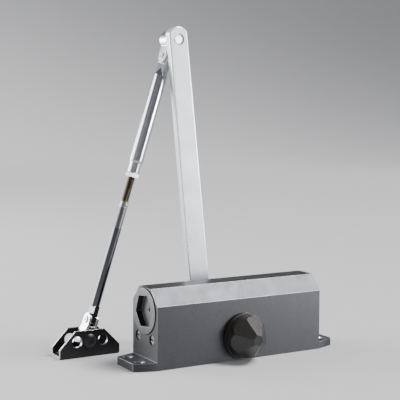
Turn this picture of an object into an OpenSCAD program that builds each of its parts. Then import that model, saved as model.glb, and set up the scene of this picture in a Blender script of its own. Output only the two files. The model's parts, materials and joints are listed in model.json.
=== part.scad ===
// Surface door closer with a jointed main arm, an adjustable forearm and a frame bracket.
// Millimetres. +Z points away from the mounting face, +X runs along the body towards its spring
// end, and the arms lie on the +Y side. The origin is the centre of the body's mounting face.

/* [Body] */
// Length of the body without its feet
body_l = 146; // [144:1:150]
// Depth of the body, front face to back face
body_d = 39; // [39:0.5:41]
// Height of the body above its mounting face
body_h = 59; // [59:0.5:61]
// Height at which the long chamfers start
shoulder_h = 47.2; // [46:0.2:48]
// Width of the flat top between the chamfers
top_flat = 18; // [17:0.5:19]

/* [Feet] */
// How far each foot reaches beyond the body's end
foot_l = 16.5; // [16:0.5:18]
// Thickness of the feet
foot_t = 6; // [5:0.5:7]
// How much narrower than the body each side of a foot is at its tip
foot_taper = 5.5; // [4:0.5:6]
// Hole spacing along the body
hole_pitch_x = 165; // [165:0.5:166]
// Hole spacing across the body
hole_pitch_y = 19; // [18:0.5:20]
// Diameter of the fixing screw holes
hole_d = 5.6; // [5:0.1:6]

/* [Cylinder and end plugs] */
// Radius of the piston bore
bore_r = 16; // [16:0.1:16.2]
// Height of the bore's axis
bore_z = 41.2; // [41:0.1:41.4]
// Radius of an end plug's visible face
plug_r = 17; // [16.9:0.1:17.1]
// Width across the flats of the plug's hexagon socket
plug_hex = 22.8; // [21:0.2:24]
// Depth of the hexagon socket
plug_hex_depth = 5; // [4:0.5:6]

/* [Pinion and rack] */
// Position of the pinion along the body
pinion_x = 1.5; // [1:0.1:2]
// Height of the pinion's axis
pinion_z = 18.5; // [18.4:0.1:18.6]
// Gear module of pinion and rack
gear_module = 2; // [2:2]
// Number of teeth on the pinion
pinion_teeth = 9; // [9:9]
// Pressure angle of the teeth
pressure_angle = 25; // [25:25]

/* [Arms] */
// Distance between the main arm's two pivots
arm_l = 226.3; // [220:0.5:232]
// Lean of the main arm away from square with the body
arm_lean = 5.96; // [4:0.1:7]
// Thickness of the main arm's bar
arm_t = 6.5; // [6:0.1:6.5]
// Distance between the forearm's two pivots
forearm_l = 242.9; // [242.5:0.1:244]
// Outer diameter of the forearm tube
tube_d = 11; // [10.8:0.1:11]
// Diameter of the polished rod
rod_d = 6.8; // [6.6:0.1:7]
// Diameter of the adjusting thread
thread_d = 6; // [5.8:0.1:6]

/* [Frame bracket] */
// Length of the bracket
bracket_l = 50; // [48:0.5:52]
// Width of the bracket over its walls
bracket_w = 16.6; // [16.6:0.1:17]
// Height of the bracket's walls
bracket_h = 20.7; // [20:0.1:21]
// Height of the bracket's pivot pin
bracket_pin_z = 12.4; // [12:0.1:12.6]
// Distance from the pivot pin to each spare hole
spare_hole_pitch = 10.8; // [10.6:0.1:11]

/* [Hidden] */
$fn = 96;
eps = 0.1;
running = 0.05;         // radial clearance of every running fit
static_gap = 0.02;      // radial clearance of a piece that is pressed or screwed in

// Body
half_l = body_l / 2;
half_d = body_d / 2;
countersink_r = 4.1;
countersink_t = 1.3;
foot_corner = 1.2;

// End plugs, measured inwards from the body's end
plug_head_t = 3;
plug_proud = 1;
plug_hex_turn = 22.6;
plug_thread_r = 16.5;
plug_thread_end = 7;
plug_end = 12;
plug_rebate_gap = 0.45;
plug_ring_x = 9.4;
plug_ring_r = 1.05;
plug_groove_r = 13.85;
plug_groove_w = 2.6;
plug_dimple_r = 2;
plug_dimple_t = 0.8;

// Speed valves
valve_y = 10.8;
valve_z = 21.3;
valve_recess_r = 3.75;
valve_recess_t = 5;
valve_way_r = 2.2;
valve_way_l = 45;
valve_port_x = [21, 35];
valve_port_r = 1;
valve_port_l = 8;
valve_port_tilt = atan(valve_y / (bore_z - valve_z));
valve_head_r = 3.45;
valve_head_top = 1;
valve_head_t = 3.6;
valve_shank_end = 18;
valve_tip_end = 21;
valve_tip_r = 0.6;
valve_slot_w = 1.1;
valve_slot_t = 1.3;
valve_ring_x = 3.1;
valve_ring_r = 0.55;

// Pinion shaft and its bearings, measured from the body's middle plane
pitch_r = gear_module * pinion_teeth / 2;
tooth_pitch = PI * gear_module;
addendum = 0.8 * gear_module;
dedendum = 1.05 * gear_module;
backlash = 0.1;
pinion_w = 16;
journal_r = 7;
shaft_shoulder = 27.1;
shaft_end = 33.5;
square_w = 9.5;
shaft_bore_r = 11.5;
bearing_from = 11.9;
bearing_to = 15.2;
retainer_r = 13.45;
retainer_bore_r = 7.4;
retainer_from = 15.5;
retainer_to = 22;
seal_to = 18.8;
seal_r = 11.2;
spanner_hole_r = 1.2;
spanner_hole_at = 10.4;
tap_r = 2.5;
tap_depth = 13;

// Pinion cap, measured outwards from the body's front face
cap_r = 17.7;
cap_l = 20.5;
cap_flange_t = 2.4;
cap_groove_r = 16.2;
cap_skirt_from = 3;
cap_skirt_r = 16.8;
cap_neck_r = 14.9;
cap_ridge = 9.8;
cap_tip_flat = 7.6;
cap_turn = 14;
cap_facet_angle = atan((cap_neck_r * cos(30) - cap_tip_flat / 2) / (cap_l - cap_ridge));
cap_taper = (cap_skirt_r - cap_neck_r) / (cap_ridge - cap_skirt_from);
cap_back_gap = 0.1;

// Piston, at rest against the left end of its stroke
piston_left = -40;
piston_right = 11;
rack_left = -34.6;
rack_teeth = [-5 : 1];
pitch_line_z = pinion_z + pitch_r;
rack_root_z = pitch_line_z + dedendum;
piston_groove_x = -38.4;
piston_groove_w = 2.2;
piston_groove_r = 14.3;
inlet_r = 2;
valve_chamber_x = -36;
valve_chamber_r = 4;
ball_r = 3;
cage_x = -30;
cage_t = 3;
cage_bore_r = 1.8;
seat_t = 1.5;

// Spring
wire_r = 1.6;
coil_r = 13.2;
coil_turns = 5.5;
spring_from = piston_right + seat_t + 0.3;
spring_to = half_l - plug_end - 0.3;

// Main arm, across the body
arm_base_y = 27.3;
arm_bar_y = 40.5;
arm_base_w = 18.4;
arm_tip_w = 16.2;
arm_base_r = 11.5;
arm_tip_r = 9.9;
crank_from = 13;
crank_to = 29;
square_gap = 0.1;
arm_back_y = arm_bar_y + arm_t;
rivet_recess_r = 4.5;
rivet_recess_t = 1.6;
elbow_spigot_r = 2.9;
elbow_end_r = 3.3;
elbow_end_t = 0.9;
washer_r = 8;
washer_t = 1.4;
screw_r = 2.45;
screw_head_r = 5;
screw_head_t = 4;
screw_hex = 5;
screw_hex_depth = 2.6;
screw_l = 12;

// Pivots of the linkage
link_y = 53.6;
pin_r = 4;
bush_r = 4.55;
eye_r = 7.3;
strap_w = 10.8;
strap_t = 2.1;
bush_w = 11.6;
tongue_t = 3.9;
tongue_gap = 0.08;
ear_in = tongue_t / 2 + tongue_gap;
ear_out = ear_in + strap_t;
ear_r = strap_w / 2;
rivet_at = 14.7;
rivet_r = 1.98;
rivet_head_r = 3;
rivet_head_t = 1;
rivet_dimple_r = 1.2;
elbow_x = pinion_x - arm_l * sin(arm_lean);
elbow_z = pinion_z + arm_l * cos(arm_lean);
forearm_tilt = acos((elbow_z - bracket_pin_z) / forearm_l);
pin_x = elbow_x - forearm_l * sin(forearm_tilt);

// Stations along the forearm, measured up from the bracket pin
upper_rivet_z = forearm_l - rivet_at;
lower_rivet_z = rivet_at;
tube_from = 133.8;
swage_to = 141.5;
tube_full = 143.5;
tube_to = 213;
shoulder_to = 219.5;
tube_tongue_w = 12;
tube_end_d = 9.5;
tube_bore_r = 4;
nut_from = 129.9;
nut_to = 133.5;
nut_flats = 10.5;
nut_chamfer_r = 5.15;
nut_chamfer_t = 0.75;
rod_from = 25.4;
sleeve_from = 89;
sleeve_d = 6.3;
ring_from = 105.5;
ring_to = 110;
ring_d = 6.6;
ring_hole_r = 0.8;
thread_to = 168;
rod_tongue_w = 9.4;

// Frame bracket
wall_t = 2.2;
base_t = 2.4;
bracket_top_l = 24.2;
bracket_shoulder = 7.4;
base_hole_pitch = 35;
base_hole_d = 5.2;
spare_hole_r = 4.2;
dome_r = 5.4;
dome_t = 2.2;
pin_tail = 1.6;
clip_r = 5.3;
clip_t = 0.8;
clip_groove_r = 3.25;

// Colours
painted_silver = [0.66, 0.67, 0.69];
steel = [0.62, 0.62, 0.63];
bright_steel = [0.80, 0.80, 0.81];
dark_steel = [0.22, 0.22, 0.23];
cap_brown = [0.21, 0.19, 0.17];
seal_black = [0.05, 0.05, 0.05];
bearing_bronze = [0.62, 0.48, 0.30];
zinc_yellow = [0.45, 0.40, 0.28];

// Lays its child along +Y: the child's +Z becomes +Y and starts at y0
module along_y(x, y0, z) {
    translate([x, y0, z])
        rotate([-90, 0, 0])
            children();
}

// Lays its child along +X: the child's +Z becomes +X and starts at x0
module along_x(x0, y, z) {
    translate([x0, y, z])
        rotate([0, 90, 0])
            children();
}

// A plain ring along +Z
module ring(r_out, r_in, h) {
    difference() {
        cylinder(r = r_out, h = h);
        translate([0, 0, -eps])
            cylinder(r = r_in, h = h + 2 * eps);
    }
}

// A round ring of round section, lying flat around Z
module o_ring(r_mid, r_section) {
    rotate_extrude()
        translate([r_mid, 0])
            circle(r = r_section, $fn = 48);
}

// A box centred in X and Y that stands on z0
module standing_box(w, d, z0, z1) {
    translate([-w / 2, -d / 2, z0])
        cube([w, d, z1 - z0]);
}

// Frame of the main arm: +Z runs from the pinion to the elbow
module arm_frame() {
    translate([pinion_x, 0, pinion_z])
        rotate([0, -arm_lean, 0])
            children();
}

// Frame of the forearm: +Z runs from the bracket pin to the elbow
module forearm_frame() {
    translate([pin_x, link_y, bracket_pin_z])
        rotate([0, forearm_tilt, 0])
            children();
}

// Repeats its child at both ends of the body
module both_ends() {
    children();
    mirror([1, 0, 0])
        children();
}

// ---- Body ----

module foot() {
    tip_x = half_l + foot_l;
    tip_y = half_d - foot_taper;
    linear_extrude(foot_t)
        polygon([
            [half_l - 1, -half_d], [half_l, -half_d],
            [tip_x - foot_corner, -tip_y], [tip_x, -tip_y + foot_corner],
            [tip_x, tip_y - foot_corner], [tip_x - foot_corner, tip_y],
            [half_l, half_d], [half_l - 1, half_d]
        ]);
}

module foot_holes() {
    for (s = [-1, 1])
        translate([hole_pitch_x / 2, s * hole_pitch_y / 2, 0]) {
            translate([0, 0, -eps])
                cylinder(d = hole_d, h = foot_t + 2 * eps);
            translate([0, 0, foot_t - countersink_t])
                cylinder(r1 = hole_d / 2, r2 = countersink_r, h = countersink_t + 0.001);
        }
}

module body_block() {
    translate([-half_l, 0, 0])
        rotate([90, 0, 90])
            linear_extrude(body_l)
                polygon([
                    [-half_d, 0], [half_d, 0], [half_d, shoulder_h],
                    [top_flat / 2, body_h], [-top_flat / 2, body_h], [-half_d, shoulder_h]
                ]);
}

// Everything cut for the end plugs, and the bore between them
module cylinder_cuts() {
    along_x(-half_l - eps, 0, bore_z)
        cylinder(r = bore_r, h = body_l + 2 * eps);
    both_ends()
        along_x(-half_l - eps, 0, bore_z) {
            cylinder(r = plug_r + plug_rebate_gap, h = plug_head_t + 0.2 + eps);
            cylinder(r = plug_thread_r, h = plug_thread_end + eps);
        }
}

// Valve screw recess, its oil way and the two ports up to the bore
module valve_cuts(side) {
    along_x(-half_l - eps, side * valve_y, valve_z) {
        cylinder(r = valve_recess_r, h = valve_recess_t + eps);
        cylinder(r = valve_way_r, h = valve_way_l + eps);
    }
    for (x = valve_port_x)
        translate([-half_l + x, side * valve_y, valve_z])
            rotate([side * valve_port_tilt, 0, 0])
                cylinder(r = valve_port_r, h = valve_port_l, $fn = 32);
}

module pinion_cuts() {
    along_y(pinion_x, -half_d - eps, pinion_z)
        cylinder(r = shaft_bore_r, h = body_d + 2 * eps);
    for (side = [0, 1])
        mirror([0, side, 0])
            along_y(pinion_x, retainer_from, pinion_z)
                cylinder(r = retainer_r + running, h = half_d - retainer_from + eps);
}

module housing() {
    color(painted_silver)
        difference() {
            union() {
                body_block();
                both_ends() foot();
            }
            both_ends() foot_holes();
            cylinder_cuts();
            valve_cuts(-1);
            valve_cuts(1);
            pinion_cuts();
        }
}

// End plug at the left end, with its hexagon socket facing out
module end_plug() {
    color(painted_silver)
        along_x(-half_l, 0, bore_z)
            difference() {
                union() {
                    translate([0, 0, -plug_proud])
                        cylinder(r = plug_r, h = plug_head_t + plug_proud);
                    cylinder(r = plug_thread_r - running, h = plug_thread_end - 0.2);
                    cylinder(r = bore_r - running, h = plug_end);
                }
                translate([0, 0, -plug_proud - eps])
                    rotate([0, 0, plug_hex_turn])
                        cylinder(d = plug_hex / cos(30), h = plug_hex_depth + eps, $fn = 6);
                translate([0, 0, -plug_proud])
                    cylinder(r = plug_dimple_r, h = plug_hex_depth + plug_dimple_t);
                translate([0, 0, plug_ring_x - plug_groove_w / 2])
                    ring(bore_r + 1, plug_groove_r - 0.1, plug_groove_w);
            }
}

module end_plug_left() { end_plug(); }

module end_plug_right() {
    mirror([1, 0, 0])
        end_plug();
}

module plug_o_ring() {
    color(seal_black)
        along_x(-half_l + plug_ring_x, 0, bore_z)
            o_ring(plug_groove_r + plug_ring_r, plug_ring_r);
}

module plug_o_ring_left() { plug_o_ring(); }

module plug_o_ring_right() {
    mirror([1, 0, 0])
        plug_o_ring();
}

// Slotted metering screw; its cone meets the first port
module valve_screw(side) {
    color(steel)
        along_x(-half_l, side * valve_y, valve_z)
            difference() {
                union() {
                    translate([0, 0, valve_head_top])
                        cylinder(r = valve_head_r, h = valve_head_t);
                    translate([0, 0, valve_head_top])
                        cylinder(r = valve_way_r - running, h = valve_shank_end - valve_head_top);
                    translate([0, 0, valve_shank_end - 0.01])
                        cylinder(r1 = valve_way_r - running, r2 = valve_tip_r,
                                 h = valve_tip_end - valve_shank_end);
                }
                translate([-valve_slot_w / 2, -valve_head_r - 1, -eps])
                    cube([valve_slot_w, 2 * valve_head_r + 2, valve_head_top + valve_slot_t + eps]);
                translate([0, 0, valve_ring_x - valve_ring_r])
                    ring(valve_head_r + 1, valve_head_r - 2 * valve_ring_r + 0.15, 2 * valve_ring_r);
            }
}

module valve_o_ring(side) {
    color(seal_black)
        along_x(-half_l + valve_ring_x, side * valve_y, valve_z)
            o_ring(valve_head_r - valve_ring_r + 0.2, valve_ring_r - 0.03);
}

module sweep_valve_screw() { valve_screw(-1); }

module latch_valve_screw() { valve_screw(1); }

module sweep_valve_o_ring() { valve_o_ring(-1); }

module latch_valve_o_ring() { valve_o_ring(1); }

// ---- Pinion, bearings and cap ----

module bearing() {
    color(bearing_bronze)
        along_y(pinion_x, bearing_from, pinion_z)
            ring(shaft_bore_r - static_gap, journal_r + running, bearing_to - bearing_from);
}

module bearing_back() { bearing(); }

module bearing_front() {
    mirror([0, 1, 0])
        bearing();
}

module shaft_seal() {
    color(seal_black)
        along_y(pinion_x, retainer_from + 0.1, pinion_z)
            ring(seal_r, journal_r + running, seal_to - retainer_from - 0.2);
}

module shaft_seal_back() { shaft_seal(); }

module shaft_seal_front() {
    mirror([0, 1, 0])
        shaft_seal();
}

// Screwed ring that holds a bearing and its seal, with four spanner holes
module bearing_retainer() {
    color(steel)
        along_y(pinion_x, retainer_from, pinion_z)
            difference() {
                cylinder(r = retainer_r, h = retainer_to - retainer_from);
                translate([0, 0, -eps])
                    cylinder(r = seal_r + static_gap, h = seal_to - retainer_from + eps);
                cylinder(r = retainer_bore_r, h = retainer_to);
                for (a = [45 : 90 : 315])
                    rotate([0, 0, a])
                        translate([spanner_hole_at, 0, retainer_to - retainer_from - 1.8])
                            cylinder(r = spanner_hole_r, h = 2, $fn = 32);
            }
}

module bearing_retainer_back() { bearing_retainer(); }

module bearing_retainer_front() {
    mirror([0, 1, 0])
        bearing_retainer();
}

// Space outside one facet of the cap's six-sided point
module cap_facet() {
    translate([0, cap_neck_r * cos(30), cap_ridge])
        rotate([cap_facet_angle, 0, 0])
            translate([-2 * cap_r, 0, -cap_r])
                cube([4 * cap_r, 3 * cap_r, 5 * cap_r]);
}

// Round body of the cap: a flange, a narrow groove and a tapered skirt
module cap_round() {
    rotate_extrude()
        polygon([
            [0, 0], [cap_r, 0], [cap_r, cap_flange_t],
            [cap_groove_r, cap_flange_t], [cap_groove_r, cap_skirt_from],
            [cap_skirt_r, cap_skirt_from],
            [cap_skirt_r - cap_taper * (cap_l - cap_skirt_from), cap_l], [0, cap_l]
        ]);
}

// Hollow cover over the free end of the pinion
module pinion_cap() {
    shaft_room = journal_r + 0.9;
    shoulder_room = shaft_shoulder - half_d + 0.6;
    end_room = shaft_end - half_d + 0.6;
    color(cap_brown)
        translate([pinion_x, -half_d - cap_back_gap, pinion_z])
            rotate([90, 0, 0])
                difference() {
                    cap_round();
                    for (a = [0 : 60 : 300])
                        rotate([0, 0, a + cap_turn - 30])
                            cap_facet();
                    translate([0, 0, -eps])
                        cylinder(r = retainer_r + running, h = retainer_to - half_d + 0.5 + eps);
                    cylinder(r1 = retainer_r - 1, r2 = shaft_room, h = shoulder_room - 2);
                    cylinder(r = shaft_room, h = shoulder_room);
                    cylinder(r = square_w * sqrt(2) / 2 + 0.4, h = end_room);
                }
}

// Involute tooth form of the pinion
base_r = pitch_r * cos(pressure_angle);
tip_r = pitch_r + addendum;
root_r = pitch_r - dedendum;
function involute_deg(a) = tan(a) * 180 / PI - a;
half_tooth = 90 / pinion_teeth + involute_deg(pressure_angle);
function flank_deg(r) = r <= base_r ? half_tooth : half_tooth - involute_deg(acos(base_r / r));
function polar(r, a) = [r * cos(a), r * sin(a)];
flank_steps = 5;
flank_radii = concat([root_r], [for (i = [0 : flank_steps]) base_r + (tip_r - base_r) * i / flank_steps]);
flank_last = len(flank_radii) - 1;
pinion_outline = [
    for (k = [0 : pinion_teeth - 1])
        let (middle = -90 + (k + 0.5) * 360 / pinion_teeth)
            for (i = [0 : 2 * flank_last + 1])
                let (r = flank_radii[i <= flank_last ? i : 2 * flank_last + 1 - i])
                    polar(r, middle + (i <= flank_last ? -1 : 1) * flank_deg(r))
];

// Pinion cut in one piece with its shaft; both ends are square for the arm
module pinion_shaft() {
    color(steel)
        difference() {
            union() {
                along_y(pinion_x, -pinion_w / 2, pinion_z)
                    linear_extrude(pinion_w)
                        polygon(pinion_outline);
                along_y(pinion_x, -shaft_shoulder, pinion_z)
                    difference() {
                        cylinder(r = journal_r, h = 2 * shaft_shoulder);
                        translate([0, 0, shaft_shoulder - pinion_w / 2])
                            ring(journal_r + 1, root_r - 0.3, pinion_w);
                    }
                arm_frame()
                    cube([square_w, 2 * shaft_end, square_w], center = true);
            }
            for (side = [0, 1])
                mirror([0, side, 0])
                    along_y(pinion_x, shaft_end - tap_depth, pinion_z)
                        cylinder(r = tap_r, h = tap_depth + eps);
        }
}

// ---- Piston and spring ----

// Height above the pitch line and distance from the tooth's middle, along one rack flank
function rack_half(h) = tooth_pitch / 4 - backlash + h * tan(pressure_angle);
rack_outline = concat(
    [[rack_left, 0], [rack_left, rack_root_z]],
    [for (k = rack_teeth)
        let (x = pinion_x + k * tooth_pitch)
            for (p = [[-1, dedendum], [-1, -addendum], [1, -addendum], [1, dedendum]])
                [x + p[0] * rack_half(p[1]), pitch_line_z + p[1]]],
    [[piston_right + 1, rack_root_z], [piston_right + 1, 0]]
);

module piston() {
    color(dark_steel)
        difference() {
            along_x(piston_left, 0, bore_z)
                cylinder(r = bore_r - running, h = piston_right - piston_left);
            rotate([90, 0, 0])
                translate([0, 0, -bore_r - 1])
                    linear_extrude(2 * bore_r + 2)
                        polygon(rack_outline);
            along_x(piston_groove_x, 0, bore_z)
                ring(bore_r + 1, piston_groove_r, piston_groove_w);
            along_x(piston_left - eps, 0, bore_z)
                cylinder(r = inlet_r, h = piston_right - piston_left);
            along_x(valve_chamber_x, 0, bore_z)
                cylinder(r = valve_chamber_r, h = piston_right - valve_chamber_x + eps);
        }
}

module piston_seal() {
    color(seal_black)
        along_x(piston_groove_x + 0.1, 0, bore_z)
            ring(bore_r - running, piston_groove_r + static_gap, piston_groove_w - 0.2);
}

module check_valve_ball() {
    color(bright_steel)
        translate([valve_chamber_x + ball_r, 0, bore_z])
            sphere(r = ball_r);
}

module check_valve_cage() {
    color(steel)
        along_x(cage_x + 0.1, 0, bore_z)
            ring(valve_chamber_r - static_gap, cage_bore_r, cage_t);
}

module spring_seat() {
    color(steel)
        along_x(piston_right + 0.05, 0, bore_z)
            ring(bore_r - 0.5, valve_chamber_r, seat_t);
}

// Compression spring, swept along its helix
spring_sides = 8;
rings_per_turn = 20;
spring_rings = coil_turns * rings_per_turn;
function spring_point(i, j) =
    let (a = 360 * i / rings_per_turn, b = 360 * j / spring_sides, r = coil_r + wire_r * cos(b))
        [
            spring_from + wire_r + (spring_to - spring_from - 2 * wire_r) * i / spring_rings
                + wire_r * sin(b),
            r * sin(a),
            bore_z + r * cos(a)
        ];
spring_points = [for (i = [0 : spring_rings]) for (j = [0 : spring_sides - 1]) spring_point(i, j)];
spring_faces = concat(
    [for (i = [0 : spring_rings - 1]) for (j = [0 : spring_sides - 1])
        let (k = (j + 1) % spring_sides, a = i * spring_sides, b = a + spring_sides)
            [a + j, a + k, b + k, b + j]],
    [[for (j = [spring_sides - 1 : -1 : 0]) j]],
    [[for (j = [0 : spring_sides - 1]) spring_rings * spring_sides + j]]
);

module main_spring() {
    color(dark_steel)
        polyhedron(points = spring_points, faces = spring_faces);
}

// ---- Main arm ----

// Side view of the arm's cranked bar: distance across the body, distance along the arm
module arm_side_profile() {
    slope = (arm_bar_y - arm_base_y) / (crank_to - crank_from);
    bend = arm_t * tan(atan(slope) / 2);
    polygon([
        [arm_base_y, -arm_base_r - 1], [arm_base_y + arm_t, -arm_base_r - 1],
        [arm_base_y + arm_t, crank_from], [arm_back_y, crank_to],
        [arm_back_y, arm_l + arm_tip_r + 1], [arm_bar_y, arm_l + arm_tip_r + 1],
        [arm_bar_y, crank_to + bend], [arm_base_y, crank_from + bend]
    ]);
}

// Front view of the bar: it narrows towards the elbow
module arm_taper() {
    tip_z = arm_l + arm_tip_r + 1;
    rotate([90, 0, 0])
        translate([0, 0, -arm_back_y - 1])
            linear_extrude(arm_back_y)
                polygon([
                    [-arm_base_w / 2, 0], [arm_base_w / 2, 0],
                    [arm_tip_w / 2, tip_z], [-arm_tip_w / 2, tip_z]
                ]);
}

module arm_outline() {
    rotate([-90, 0, 0])
        cylinder(r = arm_base_r, h = arm_back_y + 1);
    intersection() {
        arm_taper();
        union() {
            standing_box(40, 200, 0, arm_l);
            translate([0, 0, arm_l])
                rotate([-90, 0, 0])
                    cylinder(r = arm_tip_r, h = arm_back_y + 1);
        }
    }
}

module main_arm() {
    color(painted_silver)
        arm_frame()
            difference() {
                intersection() {
                    translate([-20, 0, 0])
                        rotate([90, 0, 90])
                            linear_extrude(40)
                                arm_side_profile();
                    arm_outline();
                }
                translate([0, arm_base_y, 0])
                    cube([square_w + 2 * square_gap, 2 * arm_t + 2, square_w + 2 * square_gap],
                         center = true);
                translate([0, arm_bar_y - eps, arm_l])
                    rotate([-90, 0, 0]) {
                        cylinder(r = elbow_spigot_r + static_gap, h = arm_t + 2 * eps);
                        cylinder(r = rivet_recess_r, h = rivet_recess_t + eps);
                    }
            }
}

module arm_washer() {
    color(bright_steel)
        along_y(pinion_x, arm_base_y + arm_t, pinion_z)
            ring(washer_r, screw_r + 0.4, washer_t);
}

module arm_screw() {
    head_y = arm_base_y + arm_t + washer_t;
    color(steel)
        difference() {
            union() {
                along_y(pinion_x, head_y, pinion_z)
                    cylinder(r = screw_head_r, h = screw_head_t);
                along_y(pinion_x, head_y - screw_l, pinion_z)
                    cylinder(r = screw_r, h = screw_l + 1);
            }
            along_y(pinion_x, head_y + screw_head_t - screw_hex_depth, pinion_z)
                cylinder(d = screw_hex / cos(30), h = screw_hex_depth + eps, $fn = 6);
        }
}

// ---- Elbow ----

module elbow_pin() {
    head_y = link_y + bush_w / 2 + 0.3;
    color(bright_steel) {
        along_y(elbow_x, arm_bar_y + rivet_recess_t - elbow_end_t, elbow_z)
            cylinder(r = elbow_end_r, h = elbow_end_t);
        along_y(elbow_x, arm_bar_y + rivet_recess_t - 0.01, elbow_z)
            cylinder(r = elbow_spigot_r, h = arm_t);
        along_y(elbow_x, arm_back_y + 0.01, elbow_z)
            cylinder(r = pin_r, h = head_y - arm_back_y);
        along_y(elbow_x, head_y, elbow_z)
            cylinder(r1 = 6, r2 = 5, h = 1.8);
    }
}

module elbow_washer() {
    color(bright_steel)
        along_y(elbow_x, arm_back_y + 0.03, elbow_z)
            ring(eye_r, pin_r + running, 0.6);
}

module bushing() {
    color(bearing_bronze)
        rotate([-90, 0, 0])
            translate([0, 0, -bush_w / 2])
                ring(bush_r, pin_r + running, bush_w);
}

module elbow_bushing() {
    forearm_frame()
        translate([0, 0, forearm_l])
            bushing();
}

// Rounds the ends of a pair of ears about their rivet; side is 1 when the ears point down
module ear_rounding(rivet_z, side, reach) {
    translate([-20, 0, rivet_z])
        rotate([0, 90, 0])
            cylinder(r = ear_r, h = 40);
    if (side > 0)
        standing_box(40, strap_w, rivet_z, rivet_z + reach);
    else
        standing_box(40, strap_w, rivet_z - reach, rivet_z);
}

module strap_rivet_hole(rivet_z, r) {
    translate([-20, 0, rivet_z])
        rotate([0, 90, 0])
            cylinder(r = r, h = 40);
}

// Strap folded round the elbow bushing, with two ears for the forearm's tongue
module elbow_knuckle() {
    color(bright_steel)
        forearm_frame()
            difference() {
                intersection() {
                    union() {
                        translate([0, -strap_w / 2, forearm_l])
                            rotate([-90, 0, 0])
                                cylinder(r = eye_r, h = strap_w);
                        standing_box(2 * ear_out, strap_w, upper_rivet_z - ear_r, forearm_l);
                    }
                    ear_rounding(upper_rivet_z, 1, rivet_at + eye_r + 1);
                }
                translate([0, -strap_w / 2 - 1, forearm_l])
                    rotate([-90, 0, 0])
                        cylinder(r = bush_r + static_gap, h = strap_w + 2);
                standing_box(2 * ear_in, strap_w + 2, upper_rivet_z - ear_r - 1, forearm_l - 3);
                strap_rivet_hole(upper_rivet_z, rivet_r + static_gap);
            }
}

// Semi-tubular rivet through both ears and the tongue between them
module strap_rivet(rivet_z) {
    color(bright_steel)
        forearm_frame()
            translate([-ear_out - rivet_head_t, 0, rivet_z])
                rotate([0, 90, 0])
                    difference() {
                        union() {
                            cylinder(r = rivet_r, h = 2 * (ear_out + rivet_head_t));
                            cylinder(r1 = rivet_head_r - 0.4, r2 = rivet_head_r, h = rivet_head_t);
                            translate([0, 0, 2 * ear_out + rivet_head_t])
                                cylinder(r1 = rivet_head_r, r2 = rivet_head_r - 0.4, h = rivet_head_t);
                        }
                        translate([0, 0, -eps])
                            cylinder(r = rivet_dimple_r, h = 1.6 + eps);
                    }
}

module knuckle_rivet() { strap_rivet(upper_rivet_z); }

// ---- Forearm ----

// Flat tongue between a pair of ears, rounded about its rivet
module tongue(w, rivet_z, z_far) {
    translate([-tongue_t / 2, 0, rivet_z])
        rotate([0, 90, 0])
            cylinder(d = w, h = tongue_t);
    standing_box(tongue_t, w, min(rivet_z, z_far), max(rivet_z, z_far));
}

module forearm_tube() {
    color(bright_steel)
        forearm_frame()
            difference() {
                union() {
                    translate([0, 0, tube_from])
                        cylinder(d = tube_end_d, h = swage_to - tube_from);
                    translate([0, 0, swage_to])
                        cylinder(d1 = tube_end_d, d2 = tube_d, h = tube_full - swage_to);
                    translate([0, 0, tube_full])
                        cylinder(d = tube_d, h = tube_to - tube_full);
                    translate([0, 0, tube_to])
                        cylinder(d1 = tube_d, d2 = tongue_t, h = shoulder_to - tube_to);
                    tongue(tube_tongue_w, upper_rivet_z, tube_to);
                }
                translate([0, 0, tube_from - eps])
                    cylinder(d = thread_d + 2 * running, h = tube_full - tube_from + 2 * eps);
                translate([0, 0, tube_full])
                    cylinder(r = tube_bore_r, h = tube_to - tube_full - 3);
                strap_rivet_hole(upper_rivet_z, rivet_r + running);
            }
}

// Hexagon nut with both ends turned down to a chamfer
module lock_nut() {
    nut_h = nut_to - nut_from;
    corner_r = nut_flats / cos(30) / 2 + eps;
    color(steel)
        forearm_frame()
            difference() {
                intersection() {
                    translate([0, 0, nut_from])
                        cylinder(d = nut_flats / cos(30), h = nut_h, $fn = 6);
                    translate([0, 0, nut_from])
                        rotate_extrude()
                            polygon([
                                [0, 0], [nut_chamfer_r, 0], [corner_r, nut_chamfer_t],
                                [corner_r, nut_h - nut_chamfer_t], [nut_chamfer_r, nut_h], [0, nut_h]
                            ]);
                }
                translate([0, 0, nut_from - eps])
                    cylinder(d = thread_d + 2 * running, h = nut_to - nut_from + 2 * eps);
            }
}

// Polished rod with its thread at the top and its flattened tongue at the bottom
module threaded_rod() {
    color(zinc_yellow)
        forearm_frame()
            difference() {
                union() {
                    tongue(rod_tongue_w, lower_rivet_z, rod_from + 1);
                    translate([0, 0, rod_from])
                        cylinder(d = rod_d, h = sleeve_from - rod_from);
                    translate([0, 0, sleeve_from])
                        cylinder(d = sleeve_d, h = ring_from - sleeve_from);
                    translate([0, 0, ring_from])
                        cylinder(d = ring_d, h = ring_to - ring_from);
                    translate([0, 0, ring_to])
                        cylinder(d = thread_d, h = thread_to - ring_to);
                }
                strap_rivet_hole(lower_rivet_z, rivet_r + running);
                translate([0, 0, (ring_from + ring_to) / 2 - 1])
                    rotate([90, 0, 0])
                        cylinder(r = ring_hole_r, h = 2 * ring_d, center = true, $fn = 32);
            }
}

// ---- Lower yoke ----

// Side view of the yoke's two legs, set in by t from its outside
module yoke_legs(t, overrun) {
    top = lower_rivet_z + ear_r + overrun;
    eye = eye_r - t;
    knee = 10.5 - 0.5 * t;
    foot_x = eye * cos(12);
    foot_z = eye * sin(12);
    ear = ear_out - t;
    rotate([90, 0, 0])
        translate([0, 0, -strap_w / 2 - overrun])
            linear_extrude(strap_w + 2 * overrun)
                polygon([
                    [-foot_x, foot_z], [-ear, knee], [-ear, top],
                    [ear, top], [ear, knee], [foot_x, foot_z]
                ]);
}

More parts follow.
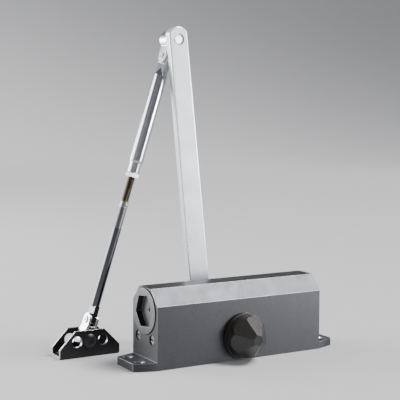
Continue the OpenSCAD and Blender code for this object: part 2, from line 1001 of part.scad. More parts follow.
module lower_yoke() {
    color(bright_steel)
        forearm_frame()
            difference() {
                intersection() {
                    union() {
                        translate([0, -strap_w / 2, 0])
                            rotate([-90, 0, 0])
                                cylinder(r = eye_r, h = strap_w);
                        yoke_legs(0, 0);
                    }
                    ear_rounding(lower_rivet_z, -1, rivet_at + eye_r + 1);
                }
                translate([0, -strap_w / 2 - 1, 0])
                    rotate([-90, 0, 0])
                        cylinder(r = bush_r + static_gap, h = strap_w + 2);
                yoke_legs(strap_t, 1);
                strap_rivet_hole(lower_rivet_z, rivet_r + static_gap);
            }
}

module yoke_rivet() { strap_rivet(lower_rivet_z); }

module yoke_bushing() {
    forearm_frame()
        bushing();
}

// ---- Frame bracket ----

module bracket_wall() {
    rotate([90, 0, 0])
        linear_extrude(wall_t)
            polygon([
                [-bracket_l / 2, 0], [bracket_l / 2, 0], [bracket_l / 2, bracket_shoulder],
                [bracket_top_l / 2, bracket_h], [-bracket_top_l / 2, bracket_h],
                [-bracket_l / 2, bracket_shoulder]
            ]);
}

// Bracket's own frame: under the pivot pin, on the mounting face
module bracket_frame() {
    translate([pin_x, link_y, 0])
        children();
}

module frame_bracket() {
    color(dark_steel)
        bracket_frame()
            difference() {
                union() {
                    standing_box(bracket_l, bracket_w, 0, base_t);
                    translate([0, bracket_w / 2, 0])
                        bracket_wall();
                    translate([0, -bracket_w / 2 + wall_t, 0])
                        bracket_wall();
                }
                for (s = [-1, 1]) {
                    translate([s * base_hole_pitch / 2, 0, -eps])
                        cylinder(d = base_hole_d, h = base_t + 2 * eps);
                    along_y(s * spare_hole_pitch, -bracket_w, bracket_pin_z)
                        cylinder(r = spare_hole_r, h = 2 * bracket_w);
                }
                along_y(0, -bracket_w, bracket_pin_z)
                    cylinder(r = pin_r + static_gap, h = 2 * bracket_w);
            }
}

module bracket_pin() {
    sphere_r = (dome_r * dome_r + dome_t * dome_t) / (2 * dome_t);
    tail_y = bracket_w / 2 + static_gap + clip_t + 0.1;
    color(dark_steel)
        bracket_frame() {
            along_y(0, -bracket_w / 2 - 0.01, bracket_pin_z)
                difference() {
                    cylinder(r = pin_r, h = bracket_w / 2 + tail_y + pin_tail);
                    translate([0, 0, bracket_w + static_gap])
                        ring(pin_r + 1, clip_groove_r, clip_t + 0.1);
                }
            intersection() {
                along_y(0, -bracket_w / 2 - dome_t, bracket_pin_z)
                    cylinder(r = dome_r, h = dome_t);
                translate([0, -bracket_w / 2 - dome_t + sphere_r, bracket_pin_z])
                    sphere(r = sphere_r);
            }
        }
}

module bracket_pin_clip() {
    color(bright_steel)
        bracket_frame()
            along_y(0, bracket_w / 2 + static_gap + 0.03, bracket_pin_z)
                ring(clip_r, clip_groove_r + static_gap, clip_t);
}

housing();
end_plug_left();
end_plug_right();
plug_o_ring_left();
plug_o_ring_right();
sweep_valve_screw();
latch_valve_screw();
sweep_valve_o_ring();
latch_valve_o_ring();
bearing_front();
bearing_back();
shaft_seal_front();
shaft_seal_back();
bearing_retainer_front();
bearing_retainer_back();
pinion_cap();
piston();
piston_seal();
check_valve_ball();
check_valve_cage();
spring_seat();
main_spring();
pinion_shaft();
main_arm();
arm_washer();
arm_screw();
elbow_pin();
elbow_washer();
elbow_bushing();
elbow_knuckle();
knuckle_rivet();
forearm_tube();
lock_nut();
threaded_rod();
lower_yoke();
yoke_rivet();
yoke_bushing();
frame_bracket();
bracket_pin();
bracket_pin_clip();
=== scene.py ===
import json
import math

import bmesh
import bpy
from mathutils import Matrix, Vector

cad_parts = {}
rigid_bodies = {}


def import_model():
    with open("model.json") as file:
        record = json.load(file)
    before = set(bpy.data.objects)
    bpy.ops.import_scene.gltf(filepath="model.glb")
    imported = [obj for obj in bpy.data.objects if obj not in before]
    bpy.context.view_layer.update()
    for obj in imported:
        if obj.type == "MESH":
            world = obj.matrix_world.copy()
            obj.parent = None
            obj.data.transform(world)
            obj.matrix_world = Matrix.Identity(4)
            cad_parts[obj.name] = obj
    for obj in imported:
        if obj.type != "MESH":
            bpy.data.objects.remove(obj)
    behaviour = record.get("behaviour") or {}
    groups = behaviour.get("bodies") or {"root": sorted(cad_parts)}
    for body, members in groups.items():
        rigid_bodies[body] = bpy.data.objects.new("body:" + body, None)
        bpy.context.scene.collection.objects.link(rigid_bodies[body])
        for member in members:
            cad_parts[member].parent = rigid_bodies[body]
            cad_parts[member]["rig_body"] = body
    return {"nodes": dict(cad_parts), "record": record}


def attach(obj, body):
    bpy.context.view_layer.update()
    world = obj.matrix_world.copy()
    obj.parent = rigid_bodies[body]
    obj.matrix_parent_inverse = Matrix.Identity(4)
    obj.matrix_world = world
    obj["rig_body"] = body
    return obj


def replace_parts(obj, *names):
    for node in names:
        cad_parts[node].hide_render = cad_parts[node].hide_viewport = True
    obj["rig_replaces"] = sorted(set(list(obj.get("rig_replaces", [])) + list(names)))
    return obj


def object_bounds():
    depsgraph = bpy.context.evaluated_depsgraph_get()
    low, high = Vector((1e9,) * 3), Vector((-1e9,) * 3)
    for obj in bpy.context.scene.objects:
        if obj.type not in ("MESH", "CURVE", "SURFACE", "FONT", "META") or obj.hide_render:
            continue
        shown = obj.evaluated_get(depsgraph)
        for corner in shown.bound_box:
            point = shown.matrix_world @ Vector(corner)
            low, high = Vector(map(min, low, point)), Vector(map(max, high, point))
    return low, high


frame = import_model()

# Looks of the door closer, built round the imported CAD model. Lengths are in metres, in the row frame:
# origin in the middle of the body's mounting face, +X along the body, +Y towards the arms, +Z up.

CAD_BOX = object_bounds()
MM = 0.001
TOUCH = 0.05 * MM          # two places nearer than this count as the same

# ---- Sizes that the pieces share with the CAD part ----
HALF_L = 73 * MM           # half the body's length
HALF_D = 19.5 * MM         # half the body's depth
FOOT_T = 6 * MM
BORE_Z = 41.2 * MM
PLUG_KEEP_R = 18 * MM      # the end plug and its rim lie inside this, above PLUG_KEEP_Z
PLUG_KEEP_Z = 20 * MM
SOCKET_R = 13.6 * MM       # the plug's hexagon socket lies inside this
PLUG_REACH = 6.2 * MM      # and inside this distance from the body's end
VALVE_Y = 10.8 * MM        # the valve holes, on both sides of the middle
VALVE_Z = 21.3 * MM
VALVE_KEEP_R = 4.5 * MM
PINION = Vector((1.5 * MM, 0, 18.5 * MM))
SQUARE_KEEP = 5.2 * MM     # the arm's square hole lies inside this, each way from the pinion
ARM_LEAN = math.radians(5.96)
ARM_L = 226.3 * MM
RIVET_KEEP_R = 5 * MM      # the rivet's hole in the arm lies inside this
LINK_Y = 53.6 * MM
FOREARM_L = 242.9 * MM
BRACKET_PIN_Z = 12.4 * MM
ELBOW = PINION + Vector((-ARM_L * math.sin(ARM_LEAN), LINK_Y, ARM_L * math.cos(ARM_LEAN)))
FOREARM_TILT = math.acos((ELBOW.z - BRACKET_PIN_Z) / FOREARM_L)
BRACKET_PIN = Vector((ELBOW.x - FOREARM_L * math.sin(FOREARM_TILT), LINK_Y, BRACKET_PIN_Z))
SLEEVE_FROM = 89 * MM      # stations along the forearm, up from the bracket's pin
RING_FROM = 105.5 * MM
RING_TO = 110 * MM
THREAD_TO = 168 * MM
THREAD_R = 3 * MM
THREAD_PITCH = 1 * MM
THREAD_DEPTH = 0.55 * MM
BRACKET_BASE_T = 2.4 * MM

# The frames of the forearm and the main arm: +Z runs up the forearm from the bracket's pin, and up the
# main arm from the pinion
FOREARM = Matrix.Translation(BRACKET_PIN) @ Matrix.Rotation(FOREARM_TILT, 4, "Y")
ARM = Matrix.Translation(PINION) @ Matrix.Rotation(-ARM_LEAN, 4, "Y")


# ---- Camera ----
CAMERA_AT = Vector((-0.43785, -0.69655, 0.19940))
CAMERA_AIM = Vector((-0.03774, -0.01950, 0.12383))
CAMERA_ROLL = math.radians(0.32)
CAMERA_LENS = 97.0         # in millimetres, on a sensor 36 wide
SENSOR_W = 36.0


def place_camera():
    data = bpy.data.cameras.new("camera")
    data.lens = CAMERA_LENS
    data.sensor_width = SENSOR_W
    data.clip_start, data.clip_end = 0.02, 30.0
    camera = bpy.data.objects.new("camera", data)
    bpy.context.scene.collection.objects.link(camera)
    back = (CAMERA_AT - CAMERA_AIM).normalized()
    right = Vector((0, 0, 1)).cross(back).normalized()
    up = back.cross(right)
    cosine, sine = math.cos(CAMERA_ROLL), math.sin(CAMERA_ROLL)
    turned = Matrix((right * cosine + up * sine, up * cosine - right * sine, back)).transposed()
    camera.matrix_world = Matrix.Translation(CAMERA_AT) @ turned.to_4x4()
    bpy.context.scene.camera = camera


# ---- Studio ----
STUDIO_AIM = Vector((-0.03, 0.01, 0.10))


def softbox(name, at, size, power):
    """A rectangular lamp that looks at the object; size is its width and height."""
    data = bpy.data.lights.new(name, "AREA")
    data.shape = "RECTANGLE"
    data.size, data.size_y = size
    data.energy = power
    lamp = bpy.data.objects.new(name, data)
    bpy.context.scene.collection.objects.link(lamp)
    lamp.location = at
    lamp.rotation_euler = (STUDIO_AIM - Vector(at)).to_track_quat("-Z", "Y").to_euler()


def sky_light(name, towards, spread_deg, strength):
    """A broad light from one side of the sky."""
    data = bpy.data.lights.new(name, "SUN")
    data.angle = math.radians(spread_deg)
    data.energy = strength
    lamp = bpy.data.objects.new(name, data)
    bpy.context.scene.collection.objects.link(lamp)
    lamp.rotation_euler = Vector(towards).to_track_quat("Z", "Y").to_euler()


def light_studio():
    world = bpy.data.worlds.new("studio")
    world.use_nodes = True
    sky = world.node_tree.nodes["Background"]
    sky.inputs["Color"].default_value = (0.60, 0.62, 0.66, 1)
    sky.inputs["Strength"].default_value = 0.35
    bpy.context.scene.world = world
    sky_light("key", (0.51, -0.20, 0.84), 27, 6.4)
    softbox("front_right", (1.05, -0.95, 0.50), (0.7, 0.8), 4)
    softbox("low_right", (0.88, -0.92, 0.17), (0.40, 0.30), 21)
    softbox("left", (-0.75, 0.88, 0.23), (1.2, 0.42), 18)
    softbox("left_high", (-0.95, 0.60, 0.62), (0.95, 0.42), 11)


def bowl_floor():
    """A pale floor that curves up all round, far from the object."""
    flat_r, rise_r, rim_z = 2.2, 0.9, 1.6
    flat_rings, rise_rings, turns = 6, 16, 96
    profile = [(flat_r * k / flat_rings, 0.0) for k in range(1, flat_rings + 1)]
    for k in range(1, rise_rings + 1):
        a = math.radians(90 * k / rise_rings)
        profile.append((flat_r + rise_r * math.sin(a), rise_r * (1 - math.cos(a))))
    profile.append((flat_r + rise_r, rim_z))
    bm = bmesh.new()
    ground = CAD_BOX[0].z
    centre = bm.verts.new((0, 0, ground))
    rings = []
    for r, z in profile:
        angles = [2 * math.pi * i / turns for i in range(turns)]
        rings.append([bm.verts.new((r * math.cos(a), r * math.sin(a), ground + z)) for a in angles])
    for i in range(turns):
        j = (i + 1) % turns
        bm.faces.new((centre, rings[0][i], rings[0][j]))
        for low, high in zip(rings, rings[1:]):
            bm.faces.new((low[i], high[i], high[j], low[j]))
    floor = object_from(bm, "floor", [finish("floor_paper", **FLOOR_PAPER)])


# ---- Materials ----
def noise(tree, vector, size, detail):
    """Noise with blotches about `size` metres across."""
    made = tree.nodes.new("ShaderNodeTexNoise")
    made.inputs["Scale"].default_value = 1 / size
    made.inputs["Detail"].default_value = detail
    made.inputs["Roughness"].default_value = 0.55
    tree.links.new(vector, made.inputs["Vector"])
    return made.outputs["Fac"]


def spread(tree, value, low, high, out_low=0.0, out_high=1.0):
    """Maps low..high of a value to out_low..out_high."""
    made = tree.nodes.new("ShaderNodeMapRange")
    made.inputs["From Min"].default_value = low
    made.inputs["From Max"].default_value = high
    made.inputs["To Min"].default_value = out_low
    made.inputs["To Max"].default_value = out_high
    tree.links.new(value, made.inputs["Value"])
    return made.outputs["Result"]


def mixed(tree, factor, a, b):
    """A colour between the colours a and b."""
    made = tree.nodes.new("ShaderNodeMix")
    made.data_type = "RGBA"
    colours = {s.name: s for s in made.inputs if s.type == "RGBA"}
    colours["A"].default_value = a
    colours["B"].default_value = b
    tree.links.new(factor, made.inputs["Factor"])
    return [s for s in made.outputs if s.type == "RGBA"][0]


def shade(colour, factor):
    return tuple(min(1.0, c * factor) for c in colour) + (1,)


def average(tree, a, b):
    """Half of each of two values."""
    half = tree.nodes.new("ShaderNodeMath")
    half.operation = "MULTIPLY"
    half.inputs[1].default_value = 0.5
    tree.links.new(b, half.inputs[0])
    made = tree.nodes.new("ShaderNodeMath")
    made.operation = "MULTIPLY_ADD"
    made.inputs[1].default_value = 0.5
    tree.links.new(a, made.inputs[0])
    tree.links.new(half.outputs["Value"], made.inputs[2])
    return made.outputs["Value"]


def scaled(tree, colour, scale):
    made = tree.nodes.new("ShaderNodeVectorMath")
    made.operation = "SCALE"
    tree.links.new(colour, made.inputs[0])
    tree.links.new(scale, made.inputs["Scale"])
    return made.outputs["Vector"]


def drawn_out(tree, place):
    """Coordinates that stretch a pattern along the forearm, as drawing or turning a rod does."""
    turn = tree.nodes.new("ShaderNodeMapping")
    turn.inputs["Rotation"].default_value = (0, -FOREARM_TILT, 0)
    tree.links.new(place, turn.inputs["Vector"])
    draw = tree.nodes.new("ShaderNodeMapping")
    draw.inputs["Scale"].default_value = (1.0, 1.0, 0.04)
    tree.links.new(turn.outputs["Vector"], draw.inputs["Vector"])
    return draw.outputs["Vector"]


BROAD_BAND = (0.35, 0.65)  # most of a noise's values lie in these bands
FINE_BAND = (0.32, 0.68)
BLOTCH_CONTRAST = 1.6


def finish(
    name,
    colour,
    metallic,
    roughness,
    grain=0.0005,
    grain_depth=0.10,
    mottle=0.012,
    mottle_depth=0.06,
    bump=0.000004,
    tint=None,
    ior=1.5,
    drawn=False,
):
    """A painted, plated or moulded surface. grain and mottle are a fine and a broad variation of the
    colour, in metres across; bump is the height of the grain, and roughness is the pair that the shine
    wanders between. tint is the blotches' own colour; without it they are a darker shade."""
    material = bpy.data.materials.new(name)
    material.use_nodes = True
    tree = material.node_tree
    shader = tree.nodes["Principled BSDF"]
    shader.inputs["Metallic"].default_value = metallic
    shader.inputs["IOR"].default_value = ior
    place = tree.nodes.new("ShaderNodeTexCoord").outputs["Object"]
    fine_place = drawn_out(tree, place) if drawn else place
    fine = noise(tree, fine_place, grain, 3.0)
    broad = noise(tree, place, mottle, 3.0)
    blotch = tint + (1,) if tint else shade(colour, 1 - BLOTCH_CONTRAST * mottle_depth)
    base = mixed(tree, spread(tree, broad, *BROAD_BAND), colour + (1,), blotch)
    grey = spread(tree, spread(tree, fine, *FINE_BAND), 0, 1, 1 - grain_depth, 1 + grain_depth)
    tree.links.new(scaled(tree, base, grey), shader.inputs["Base Color"])
    shine = spread(tree, average(tree, fine, broad), *BROAD_BAND, *roughness)
    tree.links.new(shine, shader.inputs["Roughness"])
    relief = tree.nodes.new("ShaderNodeBump")
    relief.inputs["Strength"].default_value = 1.0
    relief.inputs["Distance"].default_value = bump
    tree.links.new(noise(tree, fine_place, grain, 4.0), relief.inputs["Height"])
    tree.links.new(relief.outputs["Normal"], shader.inputs["Normal"])
    return material


FLOOR_PAPER = dict(
    colour=(0.43, 0.43, 0.44), metallic=0.0, roughness=(0.55, 0.65),
    grain=0.02, grain_depth=0.01, mottle=0.4, mottle_depth=0.01, bump=0.0,
)

LOOKS = {
    # The body's silver paint has a very dark base, a painted shade: the dark front face is painted into
    # it, and only the lamps' reflections make it read as silver.
    "body_paint": dict(
        colour=(0.042, 0.043, 0.047), metallic=0.9, roughness=(0.31, 0.42), grain=0.00055,
        grain_depth=0.16, mottle=0.011, mottle_depth=0.05, bump=0.000012,
        tint=(0.039, 0.040, 0.043),
    ),
    # A lighter copy of the body's paint for the rounded edges of the body and plugs: a painted
    # highlight along the edges.
    "body_edge_highlight": dict(
        colour=(0.220, 0.225, 0.240), metallic=0.85, roughness=(0.28, 0.4), grain=0.0004,
        grain_depth=0.10, bump=0.000005,
    ),
    # The plugs share the body's paint, given a lighter base here: painted light on the end of the body.
    "plug_paint": dict(
        colour=(0.125, 0.127, 0.130), metallic=0.75, roughness=(0.34, 0.48), grain=0.0006,
        grain_depth=0.18, bump=0.000014,
    ),
    # A lighter copy of the body's paint for its two end faces: painted light, so that the ends read
    # lighter than the front.
    "body_end_painted_light": dict(
        colour=(0.095, 0.096, 0.100), metallic=0.85, roughness=(0.34, 0.46), grain=0.0006,
        grain_depth=0.16, bump=0.000012,
    ),
    "bare_metal": dict(
        colour=(0.62, 0.62, 0.63), metallic=0.9, roughness=(0.24, 0.36), grain=0.0004,
        grain_depth=0.10, bump=0.000006,
    ),
    "cap_tip": dict(
        colour=(0.008, 0.0075, 0.007), metallic=0.0, roughness=(0.60, 0.72), grain=0.0005,
        grain_depth=0.15, bump=0.000012, ior=1.35,
    ),
    # Near-black finish for the walls inside the plugs' hexagon sockets: painted shade in the recess.
    "socket_painted_shade": dict(
        colour=(0.016, 0.016, 0.017), metallic=0.4, roughness=(0.36, 0.50), grain=0.0006,
        grain_depth=0.2, bump=0.000010,
    ),
    "arm_paint": dict(
        colour=(0.470, 0.492, 0.522), metallic=0.35, roughness=(0.36, 0.46), grain=0.0005,
        grain_depth=0.06, mottle=0.015, mottle_depth=0.03, bump=0.000006,
        tint=(0.432, 0.453, 0.480),
    ),
    # A much lighter copy of the arm's paint for its rounded edges: a painted highlight along the edges.
    "arm_edge_highlight": dict(
        colour=(0.800, 0.820, 0.860), metallic=0.6, roughness=(0.20, 0.32), grain=0.0004,
        grain_depth=0.05, bump=0.000004,
    ),
    "tube_chrome": dict(
        colour=(0.420, 0.430, 0.455), metallic=1.0, roughness=(0.12, 0.22), grain=0.0004,
        grain_depth=0.05, mottle=0.02, mottle_depth=0.03, bump=0.0000012, drawn=True,
    ),
    # Polished chrome given a very dark base: a painted dark reflection along the rod.
    "rod_chrome": dict(
        colour=(0.100, 0.103, 0.110), metallic=1.0, roughness=(0.1, 0.18), grain=0.0004,
        grain_depth=0.05, mottle=0.02, mottle_depth=0.03, bump=0.000001, drawn=True,
    ),
    "rod_dull": dict(
        colour=(0.110, 0.110, 0.117), metallic=1.0, roughness=(0.38, 0.52), grain=0.0005,
        grain_depth=0.14, bump=0.000006,
    ),
    "rod_ring": dict(
        colour=(0.260, 0.260, 0.270), metallic=1.0, roughness=(0.25, 0.38), grain=0.0005,
        grain_depth=0.10, bump=0.000004,
    ),
    "thread_steel": dict(
        colour=(0.110, 0.095, 0.065), metallic=1.0, roughness=(0.28, 0.44), grain=0.0005,
        grain_depth=0.25, mottle=0.003, mottle_depth=0.2, bump=0.000004, tint=(0.101, 0.087, 0.060),
    ),
    "bright_zinc": dict(
        colour=(0.78, 0.79, 0.80), metallic=1.0, roughness=(0.18, 0.32), grain=0.0006,
        grain_depth=0.07, mottle=0.005, mottle_depth=0.05, bump=0.000006,
    ),
    "nut_zinc": dict(
        colour=(0.70, 0.70, 0.69), metallic=1.0, roughness=(0.20, 0.34), grain=0.0005,
        grain_depth=0.08, mottle=0.004, mottle_depth=0.06, bump=0.000004,
    ),
    "bracket_steel": dict(
        colour=(0.008, 0.008, 0.009), metallic=0.3, roughness=(0.34, 0.46), grain=0.0005,
        grain_depth=0.22, mottle=0.008, mottle_depth=0.15, bump=0.000008,
        tint=(0.007, 0.007, 0.008),
    ),
    # Bright metal for the bracket's rounded edges and plate edges: a painted highlight on the dark
    # plate.
    "bracket_edge_highlight": dict(
        colour=(0.500, 0.500, 0.510), metallic=0.9, roughness=(0.24, 0.36), grain=0.0005,
        grain_depth=0.20, bump=0.000006,
    ),
    "cap_plastic": dict(
        colour=(0.016, 0.015, 0.013), metallic=0.0, roughness=(0.26, 0.36), grain=0.0007,
        grain_depth=0.10, mottle=0.006, mottle_depth=0.08, bump=0.000010,
        tint=(0.015, 0.014, 0.012), ior=1.5,
    ),
    "seal_rubber": dict(
        colour=(0.030, 0.030, 0.031), metallic=0.0, roughness=(0.55, 0.70), grain=0.0008,
        grain_depth=0.15, bump=0.00001,
    ),
    "bearing_bronze": dict(
        colour=(0.55, 0.38, 0.20), metallic=1.0, roughness=(0.28, 0.42), grain=0.0006,
        grain_depth=0.15, bump=0.000006,
    ),
    "retainer_steel": dict(
        colour=(0.38, 0.38, 0.39), metallic=1.0, roughness=(0.28, 0.42), grain=0.0005,
        grain_depth=0.12, bump=0.000006,
    ),
    "valve_steel": dict(
        colour=(0.450, 0.450, 0.460), metallic=1.0, roughness=(0.28, 0.42), grain=0.0004,
        grain_depth=0.15, bump=0.000005,
    ),
    "piston_iron": dict(
        colour=(0.24, 0.24, 0.25), metallic=1.0, roughness=(0.35, 0.50), grain=0.0008,
        grain_depth=0.15, bump=0.00001,
    ),
    "spring_steel": dict(
        colour=(0.20, 0.19, 0.19), metallic=1.0, roughness=(0.32, 0.45), grain=0.0006,
        grain_depth=0.15, bump=0.000006,
    ),
    "ball_steel": dict(
        colour=(0.66, 0.66, 0.67), metallic=1.0, roughness=(0.10, 0.18), grain=0.0006,
        grain_depth=0.04, bump=0.000001,
    ),
    "pinion_steel": dict(
        colour=(0.44, 0.44, 0.45), metallic=1.0, roughness=(0.26, 0.40), grain=0.0005,
        grain_depth=0.12, bump=0.000005,
    ),
    "screw_steel": dict(
        colour=(0.16, 0.16, 0.165), metallic=1.0, roughness=(0.26, 0.40), grain=0.0005,
        grain_depth=0.15, bump=0.000005,
    ),
}


def make_materials():
    return {name: finish(name, **look) for name, look in LOOKS.items()}


# ---- Mesh helpers ----
SMOOTH_BELOW = math.radians(32)


def object_from(bm, name, materials):
    """A new object made from a bmesh, shaded smooth except over real edges."""
    mesh = bpy.data.meshes.new(name)
    bm.normal_update()
    bm.to_mesh(mesh)
    bm.free()
    for material in materials:
        mesh.materials.append(material)
    mesh.shade_smooth()
    mesh.set_sharp_from_angle(angle=SMOOTH_BELOW)
    made = bpy.data.objects.new(name, mesh)
    bpy.context.scene.collection.objects.link(made)
    weigh = made.modifiers.new("even_shading", "WEIGHTED_NORMAL")
    weigh.keep_sharp = True
    weigh.weight = 80
    return made


WELD = 0.002 * MM
FLAT = math.radians(0.4)


def mesh_of(node):
    """A CAD node as a bmesh whose flat faces are whole again."""
    bm = bmesh.new()
    bm.from_mesh(frame["nodes"][node].data)
    bmesh.ops.remove_doubles(bm, verts=bm.verts, dist=WELD)
    bmesh.ops.dissolve_limit(
        bm, angle_limit=FLAT, use_dissolve_boundaries=False,
        verts=list(bm.verts), edges=list(bm.edges), delimit=set(),
    )
    for face in bm.faces:
        face.material_index = 0
    bm.normal_update()
    return bm


def corner(edge):
    """How sharply an edge turns, in degrees."""
    return math.degrees(edge.calc_face_angle(0))


def middle(edge):
    return (edge.verts[0].co + edge.verts[1].co) / 2


def round_edges(bm, width, test, segments=2, material=-1, sharper=34):
    """Rounds the edges that turn by more than `sharper` degrees and pass the test. The new faces get
    the material with the given index, or their neighbours'."""
    chosen = [e for e in bm.edges if corner(e) > sharper and test(e)]
    if not chosen:
        return
    bmesh.ops.bevel(
        bm, geom=chosen, offset=width, offset_type="OFFSET", segments=segments, profile=0.5,
        affect="EDGES", clamp_overlap=True, material=material, loop_slide=True,
    )
    bm.normal_update()


def stands_for(made, node):
    """The piece takes the place of a CAD node and moves with its body."""
    body = frame["nodes"][node]["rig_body"]
    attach(made, body)
    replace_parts(made, node)


def anywhere(edge):
    return True


# ---- Pieces ----
# Finish 0 of a piece is its main one. Where rounded edges have a finish of their own, it is EDGE, a
# lighter finish that paints a highlight along the edges.
EDGE = 1


def build_housing(paint):
    bm = mesh_of("housing")
    painted_light_ends, countersinks = 2, 3
    feet_from = HALF_L + 1 * MM
    long_edge = 100 * MM

    def by_opening(p):
        """By the end plug or a valve hole."""
        plug = p.z > PLUG_KEEP_Z and math.hypot(p.y, p.z - BORE_Z) < PLUG_KEEP_R
        valve = math.hypot(abs(p.y) - VALVE_Y, p.z - VALVE_Z) < VALVE_KEEP_R
        return abs(p.x) < feet_from and (plug or valve)

    def outline(e):
        p = middle(e)
        on_end = abs(p.x) > HALF_L - TOUCH
        return (on_end and not by_opening(p)) or e.calc_length() > long_edge

    def rims(e):
        p = middle(e)
        return abs(p.x) > HALF_L - TOUCH or abs(p.y) > HALF_D - TOUCH

    for f in bm.faces:
        p = f.calc_center_median()
        # The end faces above the feet get the lighter copy of the paint: painted light on the ends.
        if abs(f.normal.x) > 0.99 and abs(p.x) > HALF_L - TOUCH and p.z > FOOT_T:
            f.material_index = painted_light_ends
        elif abs(p.x) > feet_from and 0.2 < abs(f.normal.z) < 0.95:
            f.material_index = countersinks
    # Rounded edges take the lighter edge finish, a painted highlight.
    round_edges(bm, 0.5 * MM, outline, segments=3, material=EDGE)
    round_edges(bm, 0.18 * MM, rims, material=EDGE)
    finishes = [paint["body_paint"], paint["body_edge_highlight"], paint["body_end_painted_light"], paint["bare_metal"]]
    stands_for(object_from(bm, "body_casting", finishes), "housing")


def build_plug(node, name, side, paint):
    """An end plug; side is -1 for the left one and 1 for the right one."""
    bm = mesh_of(node)
    shade_in_socket = 2

    def in_front(p):
        return abs(p.x - side * HALF_L) < PLUG_REACH

    # The socket's walls get the near-black finish: painted shade in the recess.
    for f in bm.faces:
        p = f.calc_center_median()
        if abs(f.normal.x) < 0.1 and in_front(p) and math.hypot(p.y, p.z - BORE_Z) < SOCKET_R:
            f.material_index = shade_in_socket
    # Rounded edges take the lighter edge finish, a painted highlight.
    round_edges(bm, 0.25 * MM, lambda e: in_front(middle(e)), material=EDGE)
    finishes = [paint["plug_paint"], paint["body_edge_highlight"], paint["socket_painted_shade"]]
    stands_for(object_from(bm, name, finishes), node)


def build_arm(paint):
    bm = mesh_of("main_arm")
    inward = ARM.inverted()
    across = ARM.to_3x3() @ Vector((1, 0, 0))
    bend_from = 8 * MM

    def long_sides(e):
        """Not the lines of the two bends, and not the rims of the holes."""
        p = inward @ middle(e)
        along = (e.verts[1].co - e.verts[0].co).normalized()
        bend = e.calc_length() > bend_from and abs(along.dot(across)) > 0.95
        rivet_hole = math.hypot(p.x, p.z - ARM_L) < RIVET_KEEP_R
        square_hole = max(abs(p.x), abs(p.z)) < SQUARE_KEEP
        return not (bend or rivet_hole or square_hole)

    # Rounded edges take the lighter edge finish, a painted highlight.
    round_edges(bm, 1.1 * MM, long_sides, segments=4, material=EDGE)
    round_edges(bm, 0.25 * MM, anywhere, material=EDGE)
    finishes = [paint["arm_paint"], paint["arm_edge_highlight"]]
    stands_for(object_from(bm, "arm_bar", finishes), "main_arm")


def build_cap(paint):
    bm = mesh_of("pinion_cap")
    tip_face = 1
    tip_keep_r = 4 * MM    # the tip's own edges lie inside this, and stay crisp
    tip_y = min(v.co.y for v in bm.verts)

    def outside(e):
        p = middle(e)
        return p.y < -HALF_D - TOUCH and math.hypot(p.x - PINION.x, p.z - PINION.z) > tip_keep_r

    for f in bm.faces:
        if f.normal.y < -0.99 and f.calc_center_median().y < tip_y + 2 * TOUCH:
            f.material_index = tip_face
    round_edges(bm, 0.6 * MM, outside, segments=4, sharper=14)
    finishes = [paint["cap_plastic"], paint["cap_tip"]]
    stands_for(object_from(bm, "shaft_cap", finishes), "pinion_cap")


def build_bracket(paint):
    bm = mesh_of("frame_bracket")
    ground = CAD_BOX[0].z
    base_below = ground + BRACKET_BASE_T + 0.2 * MM
    bend_from = 30 * MM

    def bends(e):
        a, b = e.verts[0].co, e.verts[1].co
        level = abs(a.z - b.z) < 2 * TOUCH and a.z < ground + 0.5 * MM
        return e.calc_length() > bend_from and level

    for f in bm.faces:
        base_face = abs(f.normal.z) > 0.9 and f.calc_center_median().z < base_below
        # Faces that do not face along Y, the plate's cut edges apart from the base, get the bright edge
        # finish: a painted highlight.
        if abs(f.normal.y) < 0.3 and not base_face:
            f.material_index = EDGE
    round_edges(bm, 1.4 * MM, bends, segments=4)
    round_edges(bm, 0.32 * MM, anywhere, material=EDGE)
    finishes = [paint["bracket_steel"], paint["bracket_edge_highlight"]]
    stands_for(object_from(bm, "bracket_channel", finishes), "frame_bracket")


def build_rod(paint):
    """Polished rod with its dull sleeve and drilled ring; the thread is a piece of its own."""
    bm = mesh_of("threaded_rod")
    inward = FOREARM.inverted()
    slack = 0.02 * MM

    def station(face):
        return (inward @ face.calc_center_median()).z

    above = [f for f in bm.faces if station(f) > RING_TO + 0.2 * MM]
    bmesh.ops.delete(bm, geom=above, context="FACES")
    bmesh.ops.contextual_create(bm, geom=[e for e in bm.edges if e.is_boundary])
    bm.normal_update()
    round_edges(bm, 0.3 * MM, anywhere)
    for f in bm.faces:
        z = station(f)
        f.material_index = 0 if z < SLEEVE_FROM - slack else 1 if z < RING_FROM - slack else 2
    finishes = [paint["rod_chrome"], paint["rod_dull"], paint["rod_ring"]]
    stands_for(object_from(bm, "push_rod", finishes), "threaded_rod")


def clamped(value):
    return max(0.0, min(1.0, value))


def build_thread(paint):
    """Metric thread on the end of the rod, one continuous helix that runs out at both ends."""
    around, steps = 40, 10
    start, end = RING_TO - 0.4 * MM, THREAD_TO
    rows = int(round((end - start) / THREAD_PITCH * steps))
    crest_r = THREAD_R - 0.04 * MM
    chamfer, chamfer_l = 0.45 * MM, 0.6 * MM
    run_in, run_out = 1.2 * MM, 1.0 * MM

    def radius(z, turn):
        t = ((z - start) / THREAD_PITCH - turn) % 1.0
        ridge = clamped(abs(t - 0.5) * 2.6 - 0.15)
        fade = clamped(min((z - start) / run_in - 0.6, (end - z) / run_out))
        tip = 1 - min(1.0, (end - z) / chamfer_l)
        return crest_r - THREAD_DEPTH * (1 - ridge) * fade - chamfer * tip

    bm = bmesh.new()
    grid = []
    for k in range(rows + 1):
        z = start + (end - start) * k / rows
        ring = []
        for i in range(around):
            turn = i / around
            r = radius(z, turn)
            a = 2 * math.pi * turn
            ring.append(bm.verts.new(FOREARM @ Vector((r * math.cos(a), r * math.sin(a), z))))
        grid.append(ring)
    for low, high in zip(grid, grid[1:]):
        for i in range(around):
            j = (i + 1) % around
            bm.faces.new((low[i], low[j], high[j], high[i]))
    bm.faces.new(grid[-1])
    bm.faces.new(list(reversed(grid[0])))
    made = object_from(bm, "rod_thread", [paint["thread_steel"]])
    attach(made, "rod")


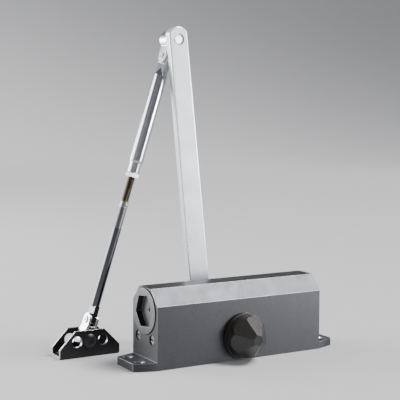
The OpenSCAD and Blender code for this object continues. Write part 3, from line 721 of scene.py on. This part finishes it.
# Pieces of one finish with every edge rounded: node, name, edge width in millimetres, steps of the
# rounding, finish, slot
ONE_FINISH = (
    ("elbow_knuckle", "knuckle_strap", 0.45, 3, "bright_zinc", "bright_zinc"),
    ("lower_yoke", "yoke_strap", 0.45, 3, "bright_zinc", "bright_zinc"),
    ("forearm_tube", "adjuster_tube", 0.35, 3, "tube_chrome", "tube_chrome"),
    ("lock_nut", "jam_nut", 0.4, 2, "nut_zinc", "bright_zinc"),
    ("elbow_pin", "elbow_rivet", 0.3, 2, "bright_zinc", "bright_zinc"),
    ("knuckle_rivet", "upper_rivet", 0.25, 2, "bright_zinc", "bright_zinc"),
    ("yoke_rivet", "lower_rivet", 0.25, 2, "bright_zinc", "bright_zinc"),
    ("arm_screw", "arm_bolt", 0.25, 2, "screw_steel", "screw_steel"),
    ("arm_washer", "arm_bolt_washer", 0.2, 2, "bright_zinc", "bright_zinc"),
    ("bracket_pin", "bracket_rivet", 0.3, 3, "bracket_steel", "bracket_steel"),
    ("bearing_retainer_back", "retainer_arm_side", 0.25, 2, "retainer_steel", "retainer_steel"),
    ("bearing_retainer_front", "retainer_cap_side", 0.25, 2, "retainer_steel", "retainer_steel"),
    ("sweep_valve_screw", "sweep_screw", 0.2, 2, "valve_steel", "valve_steel"),
    ("latch_valve_screw", "latch_screw", 0.2, 2, "valve_steel", "valve_steel"),
)


def build_one_finish(paint):
    for node, name, width, steps, look, slot in ONE_FINISH:
        bm = mesh_of(node)
        round_edges(bm, width * MM, anywhere, segments=steps)
        stands_for(object_from(bm, name, [paint[look]]), node)


def paint_node(node, material):
    mesh = frame["nodes"][node].data
    mesh.materials.clear()
    mesh.materials.append(material)


def build_all():
    paint = make_materials()
    build_housing(paint)
    build_plug("end_plug_left", "plug_valve_end", -1, paint)
    build_plug("end_plug_right", "plug_spring_end", 1, paint)
    build_cap(paint)
    build_arm(paint)
    build_one_finish(paint)
    build_bracket(paint)
    build_rod(paint)
    build_thread(paint)
    replaced = {n for o in bpy.data.objects for n in o.get("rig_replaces", [])}
    for row in frame["record"]["subparts"]:
        if row["node"] not in replaced:
            paint_node(row["node"], paint[row["material_slot"]])


place_camera()
light_studio()
bowl_floor()
build_all()
